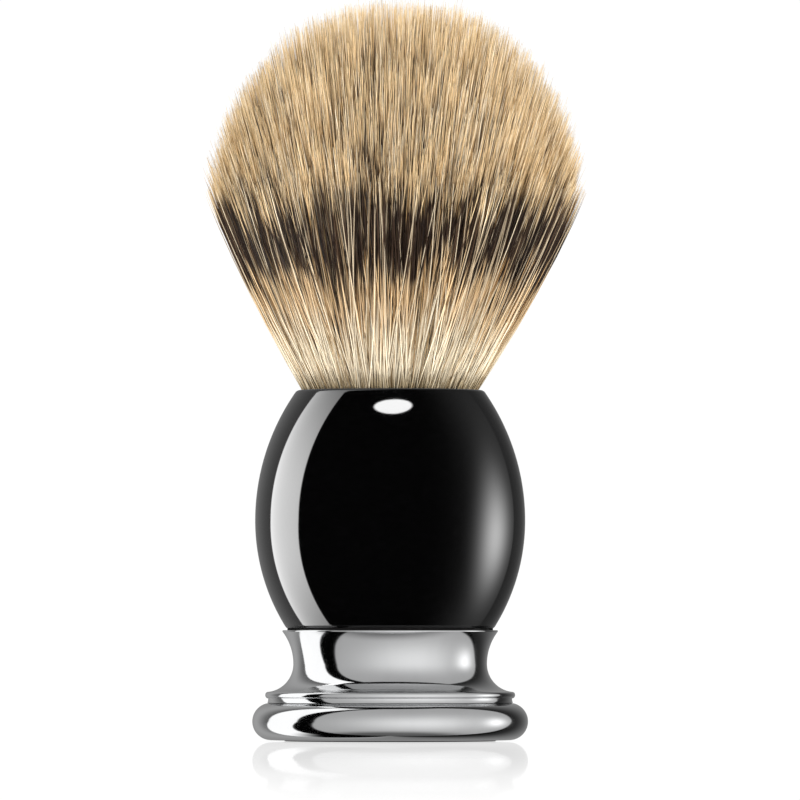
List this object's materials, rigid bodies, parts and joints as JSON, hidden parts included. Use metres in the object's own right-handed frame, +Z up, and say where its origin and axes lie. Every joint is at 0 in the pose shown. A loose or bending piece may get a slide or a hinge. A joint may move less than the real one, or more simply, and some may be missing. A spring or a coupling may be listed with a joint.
{
  "type": "shaving brush",
  "caption": "Free-standing shaving brush with a domed tuft of banded hair, a barrel-shaped glossy black handle and a waisted chrome base on a rounded foot.",
  "frame": {"origin": "centre of the underside of the base pad, on the surface that the brush stands on", "axes": "+Z up along the brush's axis, from the base to the tip of the hair; the brush is round about Z, and +X is the side that the tuft's modelled bend goes to"},
  "size_m": [0.0526, 0.0526, 0.1052],
  "materials": {
    "hair": "soft natural hair with cream tips, a dark brown band and a tan to cream root",
    "black_resin": "polished to a deep gloss",
    "chrome": "mirror-bright plating",
    "black_rubber": "dull and smooth",
    "knot_resin": "hard amber casting resin",
    "cup_plastic": "moulded, unpolished",
    "thread": "waxed thread",
    "brass": "turned and knurled",
    "iron": "turned, dark",
    "steel": "zinc-plated"
  },
  "bodies": {
    "handle_and_base": {"hair_root": "hair", "knot_plug": "knot_resin", "knot_cup": "cup_plastic", "binding_thread": "thread", "glue_bed": "knot_resin", "handle": "black_resin", "threaded_insert": "brass", "seam_seal": "black_rubber", "collar": "chrome", "step_ring": "chrome", "foot_ring": "chrome", "base_weight": "iron", "clamp_stud": "steel", "flat_washer": "steel", "spring_washer": "steel", "stud_nut": "steel", "base_cover": "steel", "base_pad": "black_rubber"},
    "tuft": {"hair_tuft": "hair"}
  },
  "joints": [
    {"name": "tuft_bend", "type": "hinge", "parent": "handle_and_base", "child": "tuft", "pos_m": [0, 0, 0.05], "axis": [0, 1, 0], "range_deg": [-22, 22], "stiffness_Nm_per_rad": 0.25}
  ]
}
